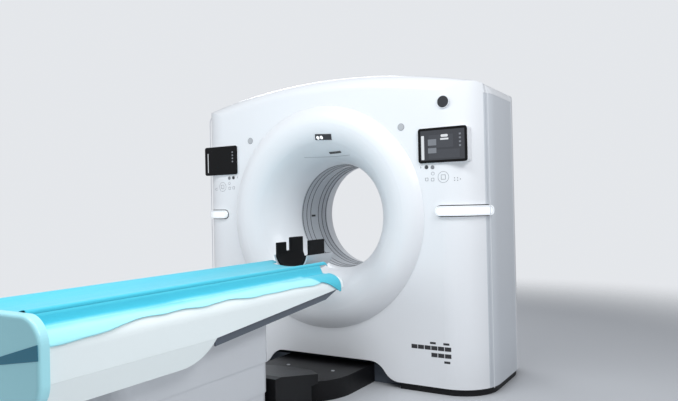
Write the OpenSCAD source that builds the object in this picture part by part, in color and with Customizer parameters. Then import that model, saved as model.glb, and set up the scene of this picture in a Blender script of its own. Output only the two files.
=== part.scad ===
// Computed tomography scanner: a gantry with its rotor, and a patient table that docks to it.
// Millimetres. The origin is on the floor under the isocentre, the bore runs along Y,
// and the table stands towards -Y. The table is modelled raised to the height at which its
// cradle enters the bore.

/* [Bore and rotor] */
// Height of the isocentre above the floor
iso_h = 1040; // [1030:5:1060]
// Inside diameter of the bore
bore_d = 700; // [690:2:704]
// Length of the straight tunnel between the two mouths
tunnel_len = 328; // [316:4:340]
// Width of the scan window in the tunnel
window_w = 96; // [84:4:108]
// Wall of the tunnel rings
tunnel_wall = 5; // [4:1:7]
// Radius of the belt rim on the rotor drum
drum_r = 830; // [820:2:836]
// Inside radius of the rotor drum
drum_in_r = 400; // [396:1:404]
// Thickness of the rotor's base plate
drum_plate = 40; // [32:2:48]
// Distance from the isocentre to the centre of the X-ray tube
tube_dist = 640; // [630:2:650]
// Radius of the tube housing
tube_r = 110; // [104:2:114]
// Distance from the focal spot to the detector
detector_dist = 1020; // [1014:2:1026]
// Half angle of the detector arc
detector_half = 26; // [22:1:27]

/* [Gantry covers] */
// Width across the side covers
gantry_w = 2140; // [2124:4:2160]
// Depth from the flat front face to the flat rear face
gantry_d = 880; // [872:4:900]
// Height of the arch's crown above the isocentre
crown_rise = 891; // [884:1:910]
// Radius of the arch along the top
arch_r = 4294; // [4000:20:4800]
// Wall of the moulded covers
cover_t = 7; // [5:1:9]
// Plan radius of the front corners
front_corner_r = 244; // [236:2:252]
// Plan radius of the rear corners
rear_corner_r = 300; // [290:2:306]
// Rounding between the face and the arched top
top_edge_r = 90; // [70:5:100]
// Rounding between the arched top and the sides
shoulder_r = 70; // [60:2:80]
// Gap along the seams between covers
seam_gap = 0.8; // [0.4:0.1:1]
// Distance of the front seam behind the front face
front_seam_back = 132; // [124:2:150]
// Distance of the rear seam in front of the rear face
rear_seam_back = 290; // [280:2:296]
// Height of the lid's crown above the seam to the side covers
lid_h = 186; // [181:1:196]
// Height of the covers' lower edge above the floor
cover_foot = 40; // [34:1:46]

/* [Front bulge] */
// Radius at which the bulge leaves the flat face
ridge_r = 715; // [705:1:725]
// Radius of the bulge's crest
crest_r = 600; // [590:1:610]
// How far the crest stands in front of the face
crest_proud = 55; // [45:1:62]
// Radius of the rounding at the crest
crest_round = 180; // [168:2:190]
// Radius of the rounding at the rear crest
rear_round = 150; // [130:2:170]

/* [Notch for the table] */
// Half width of the notch's flat top
notch_half = 330; // [322:2:340]
// Height of the notch's flat top
notch_z = 150; // [142:1:158]
// Radius of the rounding at the notch's upper corners
notch_r = 120; // [110:2:128]
// Half width of the notch where it meets the lower edge
notch_foot_half = 530; // [520:2:540]

/* [Panels on the front] */
// Width of the touch screens
screen_w = 300; // [292:2:304]
// Height of the touch screens
screen_h = 203; // [195:2:211]
// Distance of a screen's centre inside the side cover
screen_in = 228; // [222:1:232]
// Height of the screens' centres above the isocentre
screen_rise = 407; // [397:1:417]
// Thickness of a screen
screen_t = 6; // [4:1:9]
// Height of a light bar
bar_h = 56; // [48:2:64]
// How far the light bars stand in front of the covers
bar_proud = 22; // [16:1:28]
// Length of a light bar's part on the front
bar_len = 277; // [267:1:287]
// Height of the light bars' centre line above the isocentre
bar_rise = 25; // [15:1:35]
// Distance of the badge's centre inside the side cover
badge_in = 221; // [218:1:230]
// Radius of the round keys under the screens
key_r = 11; // [9:0.5:12]
// Travel of the round keys
key_travel = 1.5; // [1:0.1:2]

/* [Patient table] */
// Half width of the cradle
cradle_half = 192; // [186:1:196]
// Clearance between the cradle's underside and the bore
cradle_clear = 10; // [9:0.5:12]
// Wall of the cradle's shell
cradle_wall = 12; // [10:1:14]
// Place of the cradle's foot end
cradle_foot_y = -2560; // [-2575:5:-2500]
// Place of the cradle's head end
cradle_head_y = -740; // [-760:5:-730]
// Half width across the side panels
panel_half = 315; // [308:1:325]
// Radius of the side panels' shoulder
panel_r = 70; // [62:1:76]
// Depth of the side panels at the foot end
panel_depth = 169; // [160:1:176]
// How far the frame's rails show under the side panels
rail_drop = 38; // [30:1:42]
// Wall of the table's panels
panel_t = 5; // [4:0.5:6]
// Height of the lifting shroud's sections
shroud_h = 300; // [292:1:302]
// Half width of the outer shroud section
shroud_half = 235; // [229:1:238]
// Length of the outer shroud section
shroud_len = 950; // [920:5:960]
// Wall of the shroud sections
shroud_t = 4; // [3:0.5:4.5]
// Half width of the foot-end cap
end_half = 340; // [330:1:350]
// Half width of the docking box
dock_half = 318; // [308:1:324]
// Height of the docking box
dock_h = 115; // [105:1:122]

/* [Hidden] */
$fn = 128;

// Larger than anything in the model
big = 4000;
// Clearance between pieces that seat on each other
fit = 0.3;
// Running clearance of the bearing, the brushes and the belt
running = 0.5;
// Clearance of foam in its shell and of the nose between the panels
loose = 0.8;
// Width of the flanges that hold the funnels
flange_w = 12;

bore_r = bore_d / 2;
face_y = gantry_d / 2;
side_x = gantry_w / 2;
crown_z = iso_h + crown_rise;
front_seam_y = -face_y + front_seam_back;
rear_seam_y = face_y - rear_seam_back;
lid_z = crown_z - lid_h;
screen_x = side_x - screen_in;
screen_z = iso_h + screen_rise;
bar_inner_x = side_x - bar_len;
bar_z = iso_h + bar_rise;
badge_place = [side_x - badge_in, crown_z - 236];
mouth_y = tunnel_len / 2;

// Radius of the arc from a mouth to the crest's rounding, where both arcs are tangent
function flare_r(depth, round_r) = let (w = crest_r - bore_r)
    (w * w + depth * depth - 2 * depth * round_r) / (2 * (w - round_r));
front_depth = face_y + crest_proud - mouth_y;
rear_depth = face_y - mouth_y;
// Radius of the arc from the crest down to the ridge
ridge_round = (pow(ridge_r - crest_r, 2) + pow(crest_proud, 2)) / (2 * crest_proud);

// Rotor, along Y
drum_back_y = 200;
drum_front_y = drum_back_y - drum_plate;
rim_half = 30;
rim_y = drum_back_y - drum_plate / 2;
bearing_split_r = drum_in_r + 55;
bearing_ring_w = 50;
frame_y = 262;
frame_t = 38;
component_front_y = -150;
focal_z = tube_dist - 50;
slip_in_r = 560;
slip_out_r = 680;
slip_t = 22;

// Base frame
sill_x = 750;
sill_w = 100;
sill_h = 110;
sill_half_y = 380;
anchor_y = 330;
anchor_r = 9;
plinth_in = 20;

// Belt drive
pulley_r = 70;
pulley_x = 702;
pulley_z = 260;
shaft_r = 14;
motor_r = 90;
motor_front_y = -60;
motor_back_y = rim_y - rim_half - 10;
belt_t = 6;
belt_w = 50;

// Table, at rest. The cradle is concentric with the bore.
cradle_r = bore_r - cradle_clear;
frame_gap = 6;
trough_r = cradle_r + frame_gap;
rim_z = iso_h - sqrt(pow(cradle_r - cradle_wall, 2) - pow(cradle_half, 2));
panel_top_z = rim_z - 62;
panel_low_z = panel_top_z - panel_depth;
panel_foot_y = cradle_foot_y - 40;
nose_y = cradle_head_y + 28;
frame_low_z = panel_top_z - 80;
frame_top_z = panel_top_z;
frame_half = 240;
frame_foot_y = cradle_foot_y - 20;
frame_head_y = nose_y - 60;
skirt_head_y = -1786;
skirt_low_z = panel_low_z - 89;
skirt_round = 300;
mattress_half = cradle_half - 14;
mattress_dip = 28;
sheet_t = 3;

// Travel of the lift from rest down to its lowest place
lift_down = 300;
shroud_head_y = -1300;
shroud_mid_y = shroud_head_y - shroud_len / 2;
shroud_step = shroud_t + running + fit;
base_t = 25;
dock_round_y = -650;
dock_end_y = dock_round_y - dock_half;
hood_half = 250;
hood_nose_y = -700;
hood_top_z = 232;
column_half = 80;
column_t = 8;

// Head holder
holder_r = 125;
holder_wall = 8;
holder_z = iso_h - cradle_r + cradle_wall + 2 + holder_r;
holder_foot_y = cradle_head_y - 53;
holder_head_y = holder_foot_y + 280;
tongue_len = 60;
mattress_head_y = holder_foot_y - tongue_len - 5;
pad_t = 21;

module at_iso() translate([0, 0, iso_h]) children();

// A shape drawn in X and Z, from y0 to y1
module along_y(y0, y1) translate([0, y1, 0]) rotate([90, 0, 0]) linear_extrude(y1 - y0) children();

// A shape drawn in Y and Z, from x0 to x1
module along_x(x0, x1) translate([x0, 0, 0]) rotate([90, 0, 90]) linear_extrude(x1 - x0) children();

// A section drawn in radius and Y, turned about an axis along Y
module about_y() rotate([-90, 0, 0]) rotate_extrude() children();

module ring2d(r_in, r_out) difference() {
    circle(r_out);
    circle(r_in);
}

module ring(r_in, r_out, y0, y1) at_iso() along_y(y0, y1) ring2d(r_in, r_out);

module block(x0, x1, y0, y1, z0, z1) translate([x0, y0, z0]) cube([x1 - x0, y1 - y0, z1 - z0]);

module rounded_rect(w, h, r) {
    square([w - 2 * r, h], center = true);
    square([w, h - 2 * r], center = true);
    for (x = [-1, 1], y = [-1, 1]) translate([x * (w / 2 - r), y * (h / 2 - r)]) circle(r);
}

module both_sides() {
    children();
    mirror([1, 0, 0]) children();
}

// Covers: the closed outer form, moved inwards by i
module plan_outline(i) {
    f = face_y - i;
    hx = side_x - i;
    rf = front_corner_r - i;
    rr = rear_corner_r - i;
    translate([-(hx - rf), -f]) square([2 * (hx - rf), f]);
    translate([-(hx - rr), 0]) square([2 * (hx - rr), f]);
    translate([-hx, rf - f]) square([2 * hx, 2 * f - rf - rr]);
    for (s = [-1, 1]) {
        translate([s * (hx - rf), rf - f]) circle(rf);
        translate([s * (hx - rr), f - rr]) circle(rr);
    }
}

// The front view: an arch whose shoulders are rounded into the sides
module front_outline(i, low_z) {
    hx = side_x - i;
    rs = shoulder_r - i;
    ra = arch_r - i;
    sx = hx - rs;
    sz = sqrt(pow(ra - rs, 2) - sx * sx);
    reach = 1.2;
    translate([0, crown_z - arch_r]) intersection() {
        circle(ra, $fn = 720);
        union() {
            polygon([[0, 0], [reach * sx, reach * sz], [-reach * sx, reach * sz]]);
            translate([-hx, low_z - crown_z + arch_r]) square([2 * hx, sz - low_z + crown_z - arch_r]);
            for (s = [-1, 1]) translate([s * sx, sz]) circle(rs);
        }
    }
}

// The roundings along the top's front and rear edges follow the arch
module top_rounding(i) {
    f = face_y - i;
    rt = top_edge_r - i;
    ra = arch_r - i;
    inner = arch_r - crown_z - 100;
    translate([0, 0, crown_z - arch_r]) rotate([-90, 0, 0]) rotate_extrude($fn = 720) {
        translate([inner, -f]) square([ra - rt - inner, 2 * f]);
        translate([inner, rt - f]) square([ra - inner, 2 * (f - rt)]);
        for (s = [-1, 1]) translate([ra - rt, s * (f - rt)]) circle(rt);
    }
}

module cover_form(i, low_z) intersection() {
    translate([0, 0, low_z]) linear_extrude(crown_z) plan_outline(i);
    along_y(-face_y, face_y) front_outline(i, low_z);
    top_rounding(i);
}

module cover_shell() difference() {
    cover_form(0, cover_foot);
    cover_form(cover_t, cover_foot - 50);
}

// A slice of a ring between two directions, drawn in radius and Y
module arc_band(centre, r_in, r_out, a0, a1) translate(centre) intersection() {
    ring2d(r_in, r_out);
    polygon([[0, 0], 2 * r_out * [cos(a0), sin(a0)], 2 * r_out * [cos((a0 + a1) / 2), sin((a0 + a1) / 2)],
        2 * r_out * [cos(a1), sin(a1)]]);
}

// Wall from the mouth to the crest, for a front mouth; o0 and o1 are depths from its surface
module mouth_section(depth, round_r, o0, o1) {
    rf = flare_r(depth, round_r);
    c_flare = [bore_r + rf, -mouth_y];
    c_crest = [crest_r, round_r - depth - mouth_y];
    d = c_crest - c_flare;
    a = atan2(d[1], d[0]) + (atan2(d[1], d[0]) < 0 ? 360 : 0);
    // The flare runs a hair past the tangent point, so that both arcs fuse
    arc_band(c_flare, rf - o1, rf - o0, 180, a + 0.3);
    arc_band(c_crest, round_r - o1, round_r - o0, a, 270);
}

module front_mouth(o0, o1) {
    mouth_section(front_depth, crest_round, o0, o1);
    c = [crest_r, ridge_round - front_depth - mouth_y];
    a = 270 + asin((ridge_r - crest_r) / ridge_round);
    arc_band(c, ridge_round - o1, ridge_round - o0, 270, a);
}

module notch_outline() {
    drop = notch_z - cover_foot;
    w = notch_foot_half - notch_half;
    r_sum = (w * w + drop * drop) / (2 * drop);
    r_low = r_sum - notch_r;
    c_low = [notch_foot_half, cover_foot + r_low];
    t = [notch_half, notch_z - notch_r] + notch_r / r_sum * [w, r_sum - drop];
    for (s = [0, 1]) mirror([s, 0]) {
        translate([-1, -1]) square([notch_half + 1, notch_z + 1]);
        intersection() {
            translate([notch_half, notch_z - notch_r]) circle(notch_r);
            translate([notch_half - 1, -1]) square([t[0] - notch_half + 1, notch_z + 1]);
        }
        translate([notch_half - 1, -1]) square([t[0] - notch_half + 1, t[1] + 1]);
        difference() {
            translate([t[0] - 0.5, -1]) square([notch_foot_half - t[0] + 0.5, t[1] + 1]);
            translate(c_low) circle(r_low);
        }
    }
}

key_places = [[screen_x - 105, screen_z - 124], [screen_x - 67, screen_z - 126]];

module front_cover() color("ghostwhite") difference() {
    intersection() {
        cover_shell();
        block(-big, big, -big, front_seam_y, -1, big);
    }
    ring(0, ridge_r + fit, -face_y - 1, front_seam_y + 1);
    along_y(-face_y - 50, front_seam_y + 1) notch_outline();
    both_sides() for (k = key_places)
        along_y(-face_y - 1, -face_y + cover_t + 1) translate(k) circle(key_r + 0.5, $fn = 48);
}

// Funnel that leads into the bore, with a flange that holds it behind the cover
module front_funnel() color("ghostwhite") {
    at_iso() about_y() front_mouth(0, cover_t);
    flange_y = -face_y + cover_t + fit;
    ring(ridge_r - flange_w, ridge_r, -face_y, flange_y + 5);
    ring(ridge_r - 1, ridge_r + flange_w, flange_y, flange_y + 5);
}

module rear_cover() color("ghostwhite") difference() {
    intersection() {
        cover_shell();
        block(-big, big, rear_seam_y, big, -1, big);
    }
    ring(0, crest_r + fit, rear_seam_y - 1, face_y + 1);
}

module rear_funnel() color("ghostwhite") {
    at_iso() mirror([0, 1, 0]) about_y() mouth_section(rear_depth, rear_round, 0, cover_t);
    flange_y = face_y - cover_t - fit;
    ring(crest_r - flange_w, crest_r, flange_y - 5, face_y - 1);
    ring(crest_r - 1, crest_r + flange_w, flange_y - 5, flange_y);
}

module side_cover_right() color("gainsboro") intersection() {
    cover_shell();
    block(0, big, front_seam_y + seam_gap, rear_seam_y - seam_gap, -1, lid_z - seam_gap);
}

module side_cover_left() color("gainsboro") mirror([1, 0, 0]) side_cover_right();

module top_cover() color("whitesmoke") intersection() {
    cover_shell();
    block(-big, big, front_seam_y + seam_gap, rear_seam_y - seam_gap, lid_z, big);
}

module plinth() color("dimgray") difference() {
    union() {
        linear_extrude(cover_foot - fit - 5) difference() {
            plan_outline(14);
            plan_outline(plinth_in);
        }
        translate([0, 0, cover_foot - fit - 5]) linear_extrude(5) difference() {
            plan_outline(3);
            plan_outline(plinth_in);
        }
    }
    block(-notch_foot_half, notch_foot_half, -big, 0, -1, big);
}

module base_frame() color("slategray") difference() {
    union() {
        for (s = [-1, 1])
            block(s * sill_x - sill_w / 2, s * sill_x + sill_w / 2, -sill_half_y, sill_half_y, 0, sill_h);
        for (y = [-sill_half_y + 20, frame_y + frame_t - 60])
            block(-sill_x, sill_x, y, y + 60, 0, sill_h);
        // Outriggers that carry the plinth
        for (y = [-150, 90]) block(-side_x + plinth_in + fit, side_x - plinth_in - fit, y, y + 40, 0, 24);
    }
    for (s = [-1, 1], y = [-anchor_y, anchor_y]) translate([s * sill_x, y, -1]) cylinder(sill_h + 2, r = anchor_r);
    for (s = [-1, 1]) block(s * sill_x - sill_w / 2 + 8, s * sill_x + sill_w / 2 - 8,
        -anchor_y + 40, frame_y - 60, 10, sill_h - 10);
}

// Upright plate that carries the bearing, standing on the sills
module stationary_frame() color("lightslategray") {
    base = sill_h + fit;
    top = iso_h + drum_r - 40;
    half = side_x - 190;
    along_y(frame_y, frame_y + frame_t) difference() {
        polygon([[-half, base], [half, base], [half, iso_h + 330], [half - 360, top], [360 - half, top],
            [-half, iso_h + 330]]);
        translate([0, iso_h]) circle(drum_in_r + 30);
        for (s = [-1, 1]) translate([s * 640, base + 90]) square([260, 260], center = true);
        translate([0, base + 110]) square([700, 160], center = true);
    }
    for (s = [-1, 1]) along_x(s * sill_x - 10, s * sill_x + 10) polygon([[frame_y + frame_t, base],
        [sill_half_y - 5, base], [frame_y + frame_t, base + 620]]);
}

module bearing_outer_ring() color("silver")
    ring(bearing_split_r + running, bearing_split_r + running + bearing_ring_w, drum_back_y + 12, frame_y);

module bearing_inner_ring() color("silver")
    ring(drum_in_r, bearing_split_r, drum_back_y, frame_y - 12);

module rotor_drum() color("lightsteelblue") {
    at_iso() along_y(drum_front_y, drum_back_y) difference() {
        circle(drum_r - 10);
        circle(drum_in_r);
        for (a = [15 : 30 : 345]) rotate(a) translate([drum_r - 60, 0]) circle(28, $fn = 48);
    }
    ring(drum_r - 24, drum_r, rim_y - rim_half, rim_y + rim_half);
    ring(drum_in_r, drum_in_r + 14, drum_front_y - 90, drum_front_y + 1);
    at_iso() for (a = [60 : 60 : 360]) rotate([0, a, 0])
        block(drum_in_r + 13, drum_in_r + 60, drum_front_y - 60, drum_front_y + 1, -6, 6);
}

// X-ray tube in its oil-filled housing, with end bells and a mounting foot
module tube_housing() color("darkgray") at_iso() translate([0, 0, tube_dist]) {
    along_y(component_front_y + 30, drum_front_y - 30) circle(tube_r);
    for (y = [component_front_y, drum_front_y - 30]) along_y(y, y + 30) circle(tube_r - 14);
    block(-tube_r - 20, tube_r + 20, drum_front_y - 30, drum_front_y, -tube_r + 20, tube_r - 20);
}

module tube_collimator() color("dimgray") at_iso() difference() {
    top = tube_dist - tube_r - fit;
    block(-110, 110, -60, drum_front_y, top - 80, top);
    block(-90, 90, -50, 50, top - 70, top - 10);
    block(-70, 70, -8, 8, top - 81, top + 1);
    block(-90, 90, 60, drum_front_y - 20, top - 81, top + 1);
}

module high_voltage_generator() color("steelblue") at_iso() {
    block(-770, -470, component_front_y, drum_front_y, -170, 170);
    for (z = [-140 : 40 : 140]) block(-740, -500, component_front_y - 16, component_front_y + 1, z - 4, z + 4);
    for (z = [-90, 90]) translate([-620, component_front_y - 40, z]) rotate([-90, 0, 0]) cylinder(41, r = 24, $fn = 48);
}

module heat_exchanger() color("silver") at_iso() rotate([0, -38, 0]) {
    block(540, 760, drum_front_y - 60, drum_front_y, -110, 110);
    for (z = [-104 : 16 : 104]) block(545, 755, component_front_y, drum_front_y - 59, z - 2, z + 2);
    for (x = [545, 749]) block(x, x + 6, component_front_y, drum_front_y - 59, -106, 106);
}

// Detector housing on an arc about the focal spot, with its carrier along the drum
module detector_arc() color("cadetblue") at_iso() translate([0, 0, focal_z]) {
    mid = 270;
    along_y(-70, 70) arc_band([0, 0], detector_dist, detector_dist + 90, mid - detector_half, mid + detector_half);
    along_y(69, drum_front_y)
        arc_band([0, 0], detector_dist + 30, detector_dist + 70, mid - detector_half + 1, mid + detector_half - 1);
}

module detector_electronics() color("seagreen") at_iso() {
    for (x = [-180, 0, 180]) block(x - 80, x + 80, 0, drum_front_y, -690, -560);
    block(-260, 260, drum_front_y - 12, drum_front_y, -700, -550);
}

module counterweight() color("dimgray") at_iso() rotate([0, 18, 0])
    block(600, 770, drum_front_y - 120, drum_front_y, -130, 130);

// Slip ring with a groove for each conducting track
module slip_ring() color("peru") at_iso() difference() {
    along_y(drum_back_y, drum_back_y + slip_t) ring2d(slip_in_r, slip_out_r);
    for (r = [slip_in_r + 15 : 24 : slip_out_r - 20])
        along_y(drum_back_y + slip_t - 4, drum_back_y + slip_t + 1) ring2d(r, r + 8);
}

module slip_ring_brushes() color("saddlebrown") at_iso() rotate([0, -125, 0])
    block(slip_in_r + 10, slip_out_r - 10, drum_back_y + slip_t + running, frame_y, -45, 45);

// Belt drive of the rotor
belt_dx = pulley_x;
belt_dz = pulley_z - iso_h;
belt_span = sqrt(belt_dx * belt_dx + belt_dz * belt_dz);
belt_turn = atan2(belt_dz, belt_dx);

// Half the angle between the straight runs' contact points, seen from the rim's centre
belt_half = acos((drum_r - pulley_r) / belt_span);

// Directions on both sides of the line from the rim to the pulley
module belt_wedge(reach, half) polygon([[0, 0], reach * [cos(half), -sin(half)], [reach * 1.5, 0],
    reach * [cos(half), sin(half)]]);

// Arcs round the rim and the pulley, joined by two straight runs that are a little thinner
module drive_belt() color("black") along_y(rim_y - belt_w / 2, rim_y + belt_w / 2)
    translate([0, iso_h]) rotate(belt_turn) {
        skin = 0.5;
        reach = 10;
        difference() {
            circle(drum_r + running + belt_t, $fn = 360);
            circle(drum_r + running, $fn = 360);
            belt_wedge(1.2 * drum_r, belt_half);
        }
        translate([belt_span, 0]) intersection() {
            ring2d(pulley_r + running, pulley_r + running + belt_t);
            belt_wedge(2 * pulley_r, belt_half);
        }
        for (side = [-1, 1]) {
            normal = [cos(belt_half), side * sin(belt_half)];
            along = reach * [sin(belt_half), -side * cos(belt_half)];
            inner = running + skin;
            outer = running + belt_t - skin;
            polygon([(drum_r + inner) * normal - along, [belt_span, 0] + (pulley_r + inner) * normal + along,
                [belt_span, 0] + (pulley_r + outer) * normal + along, (drum_r + outer) * normal - along]);
        }
    }

module drive_pulley() color("silver") translate([pulley_x, 0, pulley_z]) along_y(rim_y - rim_half, rim_y + rim_half)
    ring2d(shaft_r + fit, pulley_r);

module drive_motor() color("gray") {
    translate([pulley_x, 0, pulley_z]) {
        along_y(motor_front_y, motor_back_y) circle(motor_r);
        along_y(motor_back_y - 1, rim_y + rim_half + 8) circle(shaft_r);
    }
    block(pulley_x - 60, pulley_x + 60, motor_front_y + 20, motor_back_y - 20, sill_h + fit, pulley_z - motor_r + 30);
}

// Tunnel between the covers: grooved rings on both sides of the scan window
module bore_ring_front() color("gainsboro") difference() {
    ring(bore_r, bore_r + tunnel_wall, -mouth_y + fit, -window_w / 2 - running);
    for (y = [-mouth_y + 14, -mouth_y + 64]) ring(bore_r - 1, bore_r + 2, y, y + 3);
}

module scan_window() color("lightblue") ring(bore_r, bore_r + tunnel_wall - 2, -window_w / 2, window_w / 2);

module bore_ring_rear() color("gainsboro") mirror([0, 1, 0]) bore_ring_front();

// Screens stand straight where the corner of the cover falls away, so each has a pod behind it
module screen_place() translate([screen_x, screen_z]) children();

module screen_pods() color("whitesmoke") both_sides() difference() {
    along_y(-face_y - screen_t, -face_y + 75) screen_place() rounded_rect(screen_w, screen_h, 16);
    translate([0, 0, 1]) linear_extrude(crown_z) plan_outline(-fit);
}

module screen_right() color("black") difference() {
    along_y(-face_y - 2 * screen_t, -face_y - screen_t) screen_place() rounded_rect(screen_w, screen_h, 16);
    along_y(-face_y - 2 * screen_t - 1, -face_y - 2 * screen_t + 1.5) screen_place()
        square([screen_w - 28, screen_h - 28], center = true);
}

module screen_left() color("black") mirror([1, 0, 0]) screen_right();

// Light bars follow the front corner round to the side
module light_bars() color("white") both_sides() intersection() {
    end_y = front_seam_y + 38;
    difference() {
        linear_extrude(crown_z) plan_outline(-bar_proud);
        translate([0, 0, -1]) linear_extrude(crown_z + 2) plan_outline(-fit);
    }
    along_y(-face_y - bar_proud - 1, 0) {
        translate([bar_inner_x + bar_h / 2, bar_z]) circle(bar_h / 2);
        translate([bar_inner_x + bar_h / 2, bar_z - bar_h / 2]) square([big, bar_h]);
    }
    along_x(0, big) {
        translate([end_y - bar_h / 2, bar_z]) circle(bar_h / 2);
        translate([end_y - bar_h / 2 - big, bar_z - bar_h / 2]) square([big, bar_h]);
    }
}

// A thin piece that lies on the front mouth, with its outline drawn in X and Z
module on_mouth(proud) intersection() {
    at_iso() about_y() front_mouth(-proud - fit, -fit);
    along_y(-face_y - 2 * crest_proud, 0) children();
}

// Panel of the breathing lights, and the window of the positioning laser under it
module front_windows() color("dimgray") {
    on_mouth(2) translate([45, iso_h + 509]) polygon([[-65, -14], [58, -22], [66, 14], [-56, 22]]);
    on_mouth(1.5) translate([80, iso_h + 413]) rounded_rect(104, 12, 5);
}

module plugs() color("lightgray") {
    both_sides() along_y(-face_y - 2, -face_y) translate([578, iso_h + 531]) circle(19.5, $fn = 48);
    for (p = [[-144, -640], [158, -788], [185, -640]]) translate([p[0], p[1], dock_h]) cylinder(3, r = 11, $fn = 48);
}

module badge_disc() color("dimgray") difference() {
    along_y(-face_y - 5, -face_y + 30) translate(badge_place) circle(35);
    linear_extrude(crown_z) plan_outline(-fit);
}

// Push key with a flange that holds it behind the cover
module key(place) {
    along_y(-face_y - key_travel - 1, -face_y + cover_t + 3) translate(place) circle(key_r, $fn = 48);
    along_y(-face_y + cover_t + fit, -face_y + cover_t + 3) translate(place) circle(key_r + 3, $fn = 48);
}

module start_key_right() color("dimgray") key(key_places[0]);
module stop_key_right() color("darkgray") key(key_places[1]);
module start_key_left() color("dimgray") mirror([1, 0, 0]) key(key_places[0]);
module stop_key_left() color("darkgray") mirror([1, 0, 0]) key(key_places[1]);

// Floor parts of the table
module dock_box() color("black") linear_extrude(dock_h) {
    dock_back_y = -sill_half_y + 20 - fit;
    translate([-dock_half, dock_round_y]) square([2 * dock_half, dock_back_y - dock_round_y]);
    intersection() {
        translate([0, dock_round_y]) circle(dock_half);
        translate([-dock_half, dock_end_y]) square([2 * dock_half, dock_half + 1]);
    }
}

module table_base() color("dimgray") difference() {
    union() {
        block(-280, 280, -2380, dock_end_y - fit, 0, base_t);
        block(-shroud_half - 30, shroud_half + 30, shroud_mid_y - shroud_len / 2 - 30, shroud_head_y - 1, 0, base_t);
    }
    for (s = [-1, 1], y = [-2340, -1040]) translate([s * 240, y, -1]) cylinder(base_t + 2, r = anchor_r);
}

// Hood that slopes up from the docking box to the shroud, with its front corners cut off
module base_hood() color("black") intersection() {
    foot = shroud_head_y + 8;
    along_x(-hood_half, hood_half) polygon([[foot, base_t + fit], [dock_end_y - fit, base_t + fit],
        [dock_end_y - fit, dock_h + fit], [hood_nose_y, dock_h + fit], [hood_nose_y - 60, dock_h + 26],
        [foot + 52, hood_top_z], [foot, hood_top_z]]);
    linear_extrude(hood_top_z + 1) polygon([[-hood_half, foot - 1], [hood_half, foot - 1],
        [hood_half, hood_nose_y - hood_half + 50], [50, hood_nose_y], [-50, hood_nose_y],
        [-hood_half, hood_nose_y - hood_half + 50]]);
}

// Telescoping shroud; step 0 is the fixed inner section
module shroud(step, low_z) {
    half = shroud_half - (2 - step) * shroud_step;
    len = shroud_len - 2 * (2 - step) * shroud_step;
    translate([0, shroud_mid_y, low_z]) linear_extrude(shroud_h) difference() {
        rounded_rect(2 * half, len, 60);
        rounded_rect(2 * (half - shroud_t), len - 2 * shroud_t, 60 - shroud_t);
    }
}

module lower_shroud() color("whitesmoke") shroud(0, base_t);
module middle_shroud() color("gainsboro") shroud(1, frame_low_z - fit - shroud_h - lift_down / 2 - 2);
module upper_shroud() color("whitesmoke") shroud(2, frame_low_z - fit - shroud_h);

// Telescoping column that lifts the table; step 0 is the fixed outer tube
module column(step, low_z) {
    half = column_half - step * (column_t + fit);
    translate([0, shroud_mid_y, low_z]) linear_extrude(shroud_h) difference() {
        square(2 * half, center = true);
        square(2 * (half - column_t), center = true);
    }
}

module lift_column_lower() color("slategray") column(0, base_t);
module lift_column_middle() color("lightslategray") column(1, frame_low_z - fit - shroud_h - lift_down / 2 - 2);
module lift_column_upper() color("silver") column(2, frame_low_z - fit - shroud_h);

// Upper part of the table
// Frame with a side rail under each panel, whose lower edge follows the panel's
module table_frame() color("lightslategray") {
    along_y(frame_foot_y, frame_head_y) difference() {
        translate([-frame_half, frame_low_z]) square([2 * frame_half, frame_top_z - frame_low_z]);
        translate([0, iso_h]) circle(trough_r, $fn = 360);
        translate([-frame_half + 12, frame_low_z + 12])
            square([2 * frame_half - 24, iso_h - trough_r - frame_low_z - 24]);
    }
    both_sides() {
        rail_x = panel_half - panel_t - 8;
        along_x(rail_x - 8, rail_x) polygon([[skirt_head_y + 4, panel_low_z - rail_drop],
            [nose_y - 170, panel_low_z + 80 - rail_drop], [frame_head_y, panel_low_z + 80],
            [frame_head_y, frame_low_z + 24], [skirt_head_y + 4, frame_low_z + 24]]);
        block(frame_half - 1, rail_x, skirt_head_y + 4, frame_head_y, frame_low_z + 12, frame_low_z + 24);
    }
}

module glide_pads() color("white") at_iso() for (y = [frame_foot_y + 60 : 280 : frame_head_y - 60])
    along_y(y, y + 50) for (a = [-114, -66]) arc_band([0, 0], cradle_r + fit, trough_r - fit / 2, a - 5, a + 5);

// Side view of the panels: straight at the foot, rising to the nose
module panel_side(i) polygon([[panel_foot_y, panel_low_z + i], [skirt_head_y, panel_low_z + i],
    [nose_y - 120, panel_low_z + 84 + i], [nose_y - i, panel_low_z + 95 + i], [nose_y - i, panel_top_z - 35],
    [nose_y - 35, panel_top_z + 1], [panel_foot_y, panel_top_z + 1]]);

// Front view of the right side panel, moved inwards by i
module panel_outline(i) intersection() {
    translate([frame_half + fit, 0]) square([panel_half, panel_top_z]);
    union() {
        translate([panel_half - panel_r, panel_top_z - panel_r]) circle(panel_r - i);
        square([panel_half - panel_r, panel_top_z - i]);
        square([panel_half - i, panel_top_z - panel_r]);
    }
}

module side_panels() color("white") both_sides() intersection() {
    along_y(panel_foot_y + fit, nose_y) difference() {
        panel_outline(0);
        panel_outline(panel_t);
    }
    along_x(0, big) panel_side(0);
}

module nose_cap() color("whitesmoke") difference() {
    intersection() {
        along_y(frame_head_y + fit, nose_y - 2) {
            square([2 * (frame_half - loose), 2 * frame_top_z], center = true);
            square([2 * frame_half + 4, 2 * (panel_top_z - panel_t - loose)], center = true);
            for (s = [0, 1]) mirror([s, 0]) panel_outline(panel_t + loose);
        }
        along_x(-big, big) panel_side(panel_t + 1);
    }
    at_iso() along_y(-big, big) circle(trough_r, $fn = 360);
}

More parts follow.
